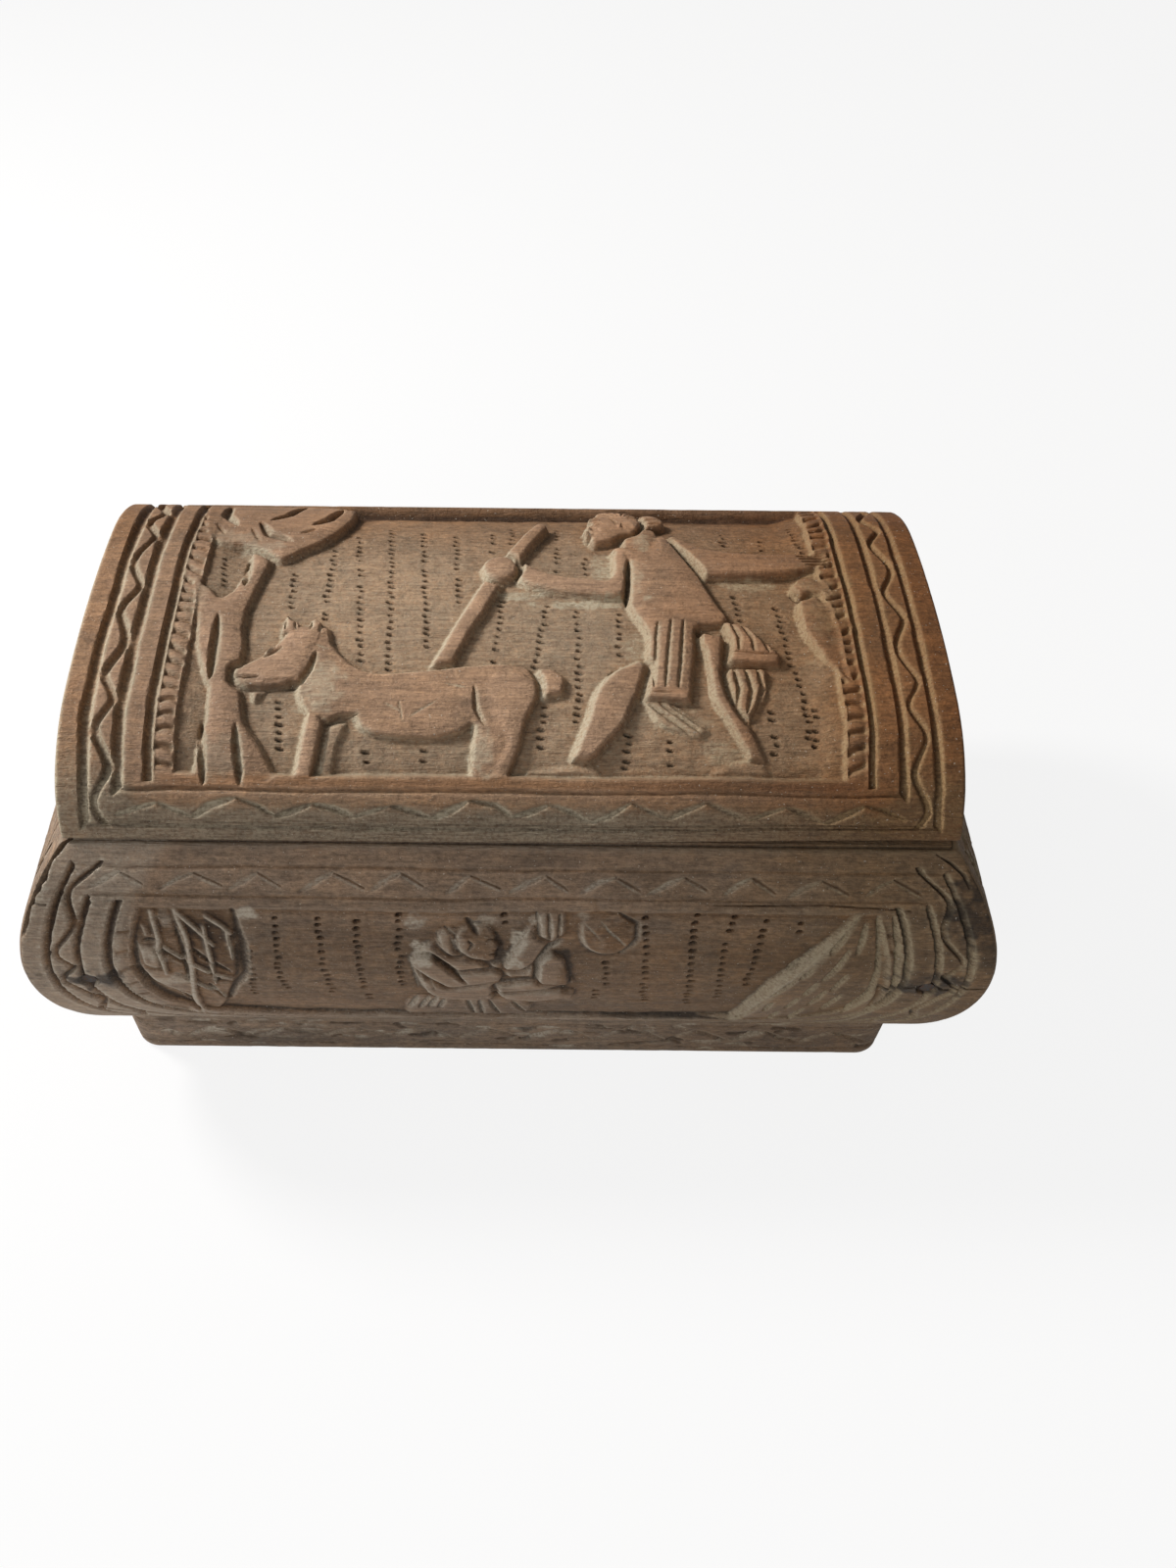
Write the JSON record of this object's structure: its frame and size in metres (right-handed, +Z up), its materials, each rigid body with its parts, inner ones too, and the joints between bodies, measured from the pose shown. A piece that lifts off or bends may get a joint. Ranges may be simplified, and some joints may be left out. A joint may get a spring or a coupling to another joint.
{
  "type": "carved wooden box",
  "caption": "Wooden keepsake box with bellied mitred walls on a low plinth and a hinged arched lid, carved with zigzag borders and folk figures.",
  "frame": {"origin": "on the table under the middle of the box", "axes": "+X along the box to its right end, +Y from the front to the hinges at the back, +Z up"},
  "size_m": [0.3048, 0.1818, 0.154],
  "materials": {
    "lid_wood": "weathered, waxed on the high spots",
    "wall_wood": "weathered, dusty",
    "plinth_wood": "weathered, dusty",
    "floor_wood": "plain planed wood",
    "nail_iron": "dull, lightly rusted",
    "hinge_brass": "tarnished"
  },
  "bodies": {
    "base": {"front_board": "wall_wood", "back_board": "wall_wood", "left_end_board": "wall_wood", "right_end_board": "wall_wood", "floor_board": "floor_wood", "plinth_front_rail": "plinth_wood", "plinth_back_rail": "plinth_wood", "plinth_left_rail": "plinth_wood", "plinth_right_rail": "plinth_wood", "front_board_nails": "nail_iron", "back_board_nails": "nail_iron", "floor_nails": "nail_iron", "plinth_nails": "nail_iron", "left_hinge_base_leaf": "hinge_brass", "right_hinge_base_leaf": "hinge_brass", "left_hinge_pin": "hinge_brass", "right_hinge_pin": "hinge_brass", "base_hinge_screws": "hinge_brass"},
    "lid": {"lid_vault": "lid_wood", "lid_left_end": "lid_wood", "lid_right_end": "lid_wood", "left_hinge_lid_leaf": "hinge_brass", "right_hinge_lid_leaf": "hinge_brass", "lid_hinge_screws": "hinge_brass"}
  },
  "joints": [
    {"name": "lid_hinge", "type": "hinge", "parent": "base", "child": "lid", "pos_m": [0, 0.073, 0.12467], "axis": [-1, 0, 0], "range_deg": [0, 175]}
  ]
}
